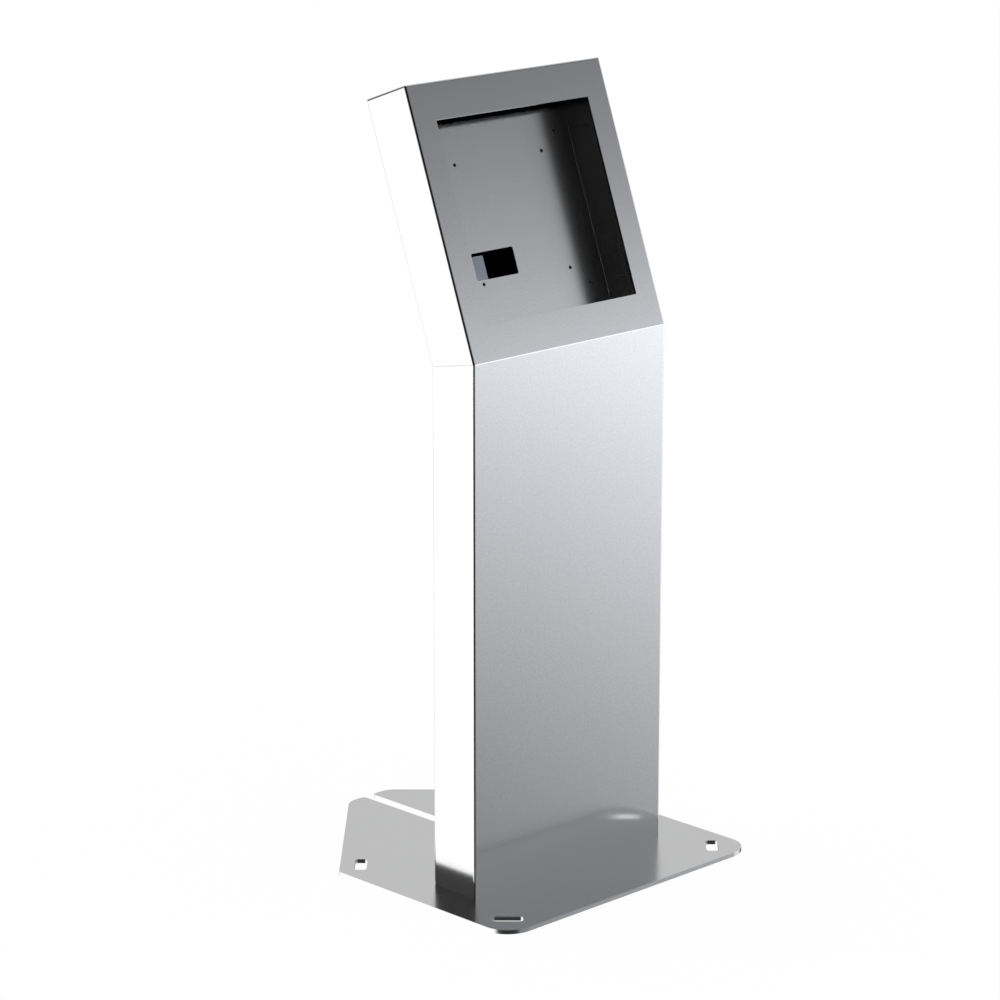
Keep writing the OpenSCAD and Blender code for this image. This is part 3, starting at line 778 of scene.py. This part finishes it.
class PEDESTAL_OT_head_panel(bpy.types.Operator):
    """Finishes the panel behind the head, bright outside and filmed inside"""

    bl_idname = "pedestal.head_panel"
    bl_label = "Head panel"

    def execute(self, context):
        finish = context.scene.pedestal_finish
        dress(("head_panel",), bright_sheet("filmed_stainless", finish, finish.head_roughness,
                                            finish.head_mottle, inner_film=True))
        return {"FINISHED"}


class PEDESTAL_OT_base_plate(bpy.types.Operator):
    """Finishes the thick slotted plate, whose polish has no direction"""

    bl_idname = "pedestal.base_plate"
    bl_label = "Base plate"

    def execute(self, context):
        finish = context.scene.pedestal_finish
        dress(("base_plate",), bright_sheet("plate_stainless", finish, finish.plate_roughness))
        return {"FINISHED"}


class PEDESTAL_OT_tray(bpy.types.Operator):
    """Finishes the mounting tray and the strip under its top side, whose near-black colour is painted shade for
    the dark gap there
    """

    bl_idname = "pedestal.tray"
    bl_label = "Mounting tray"

    def execute(self, context):
        finish = context.scene.pedestal_finish
        grained_copy("mounting_tray", "pedestal",
                     bright_sheet("tray_stainless", finish, finish.tray_roughness, finish.head_mottle,
                                  finish.tray_direction))
        # Near-black with no specular: the strip is painted shade for the dark gap under the tray's top side
        dress(("top_strip",), moulded("strip_painted_shade", finish.shade_strip_colour, roughness=0.95, pore_size=0.4 * MM,
                                      pore_height=0.01 * MM, specular=0.0))
        return {"FINISHED"}


class PEDESTAL_OT_frames(bpy.types.Operator):
    """Finishes the galvanised frames, channels and the cable bar inside"""

    bl_idname = "pedestal.frames"
    bl_label = "Inner frames"

    def execute(self, context):
        dress(FRAMES, galvanised_sheet(context.scene.pedestal_finish))
        return {"FINISHED"}


class PEDESTAL_OT_seals(bpy.types.Operator):
    """Finishes the gasket and the seals in pored black rubber"""

    bl_idname = "pedestal.seals"
    bl_label = "Seals"

    def execute(self, context):
        colour = context.scene.pedestal_finish.rubber_colour
        dress(SEALS, moulded("seal_rubber", colour, roughness=0.8, pore_size=0.6 * MM, pore_height=0.03 * MM,
                             specular=0.3))
        return {"FINISHED"}


class PEDESTAL_OT_fasteners(bpy.types.Operator):
    """Turns studs, bolts and nuts with threads and chamfers, and finishes the plain hardware"""

    bl_idname = "pedestal.fasteners"
    bl_label = "Fasteners"

    def execute(self, context):
        steel = hardware_steel(context.scene.pedestal_finish)
        for name, (shape, axis) in FASTENERS.items():
            turn_fasteners(name, shape, axis, "pedestal", steel)
        dress(PLAIN_HARDWARE, steel)
        return {"FINISHED"}


class PEDESTAL_OT_cover_screws(bpy.types.Operator):
    """Turns the cover's socket screws and finishes their nylon washers"""

    bl_idname = "pedestal.cover_screws"
    bl_label = "Cover screws"

    def execute(self, context):
        finish = context.scene.pedestal_finish
        turn_fasteners("cover_screws", socket_screw, REAR, "column_cover",
                       hardware_steel(finish))
        dress(("screw_washers",), moulded("nylon", finish.nylon_colour, roughness=0.4, pore_size=1 * MM,
                                          pore_height=0.004 * MM, specular=0.5))
        return {"FINISHED"}


class PEDESTAL_OT_earth_terminal(bpy.types.Operator):
    """Turns the earth terminal's nut and finishes it and its washer in brass"""

    bl_idname = "pedestal.earth_terminal"
    bl_label = "Earth terminal"

    def execute(self, context):
        brass = plain_brass(context.scene.pedestal_finish)
        turn_fasteners("earth_nut", plain_nut, RIGHT, "pedestal", brass)
        dress(("earth_washer",), brass)
        return {"FINISHED"}


OPERATORS = (
    PEDESTAL_OT_stage, PEDESTAL_OT_shells, PEDESTAL_OT_head_panel, PEDESTAL_OT_base_plate, PEDESTAL_OT_tray,
    PEDESTAL_OT_frames, PEDESTAL_OT_seals, PEDESTAL_OT_fasteners, PEDESTAL_OT_cover_screws,
    PEDESTAL_OT_earth_terminal,
)


class PEDESTAL_PT_sidebar(bpy.types.Panel):
    """Lists the pedestal's values and the buttons that make each group"""

    bl_idname = "PEDESTAL_PT_sidebar"
    bl_label = "Intercom pedestal"
    bl_space_type = "VIEW_3D"
    bl_region_type = "UI"
    bl_category = "Pedestal"

    def draw(self, context):
        for settings in (context.scene.pedestal_finish, context.scene.pedestal_studio):
            column = self.layout.column(align=True)
            for name in type(settings).__annotations__:
                column.prop(settings, name)
        for operator in OPERATORS:
            self.layout.operator(operator.bl_idname)


CLASSES = (PedestalFinish, PedestalStudio, *OPERATORS, PEDESTAL_PT_sidebar)


def register():
    for cls in CLASSES:
        bpy.utils.register_class(cls)
    bpy.types.Scene.pedestal_finish = bpy.props.PointerProperty(type=PedestalFinish)
    bpy.types.Scene.pedestal_studio = bpy.props.PointerProperty(type=PedestalStudio)


def unregister():
    del bpy.types.Scene.pedestal_studio
    del bpy.types.Scene.pedestal_finish
    for cls in reversed(CLASSES):
        bpy.utils.unregister_class(cls)


def main():
    register()
    bpy.ops.pedestal.stage()
    bpy.ops.pedestal.shells()
    bpy.ops.pedestal.head_panel()
    bpy.ops.pedestal.base_plate()
    bpy.ops.pedestal.tray()
    bpy.ops.pedestal.frames()
    bpy.ops.pedestal.seals()
    bpy.ops.pedestal.fasteners()
    bpy.ops.pedestal.cover_screws()
    bpy.ops.pedestal.earth_terminal()


if __name__ == "__main__":
    main()
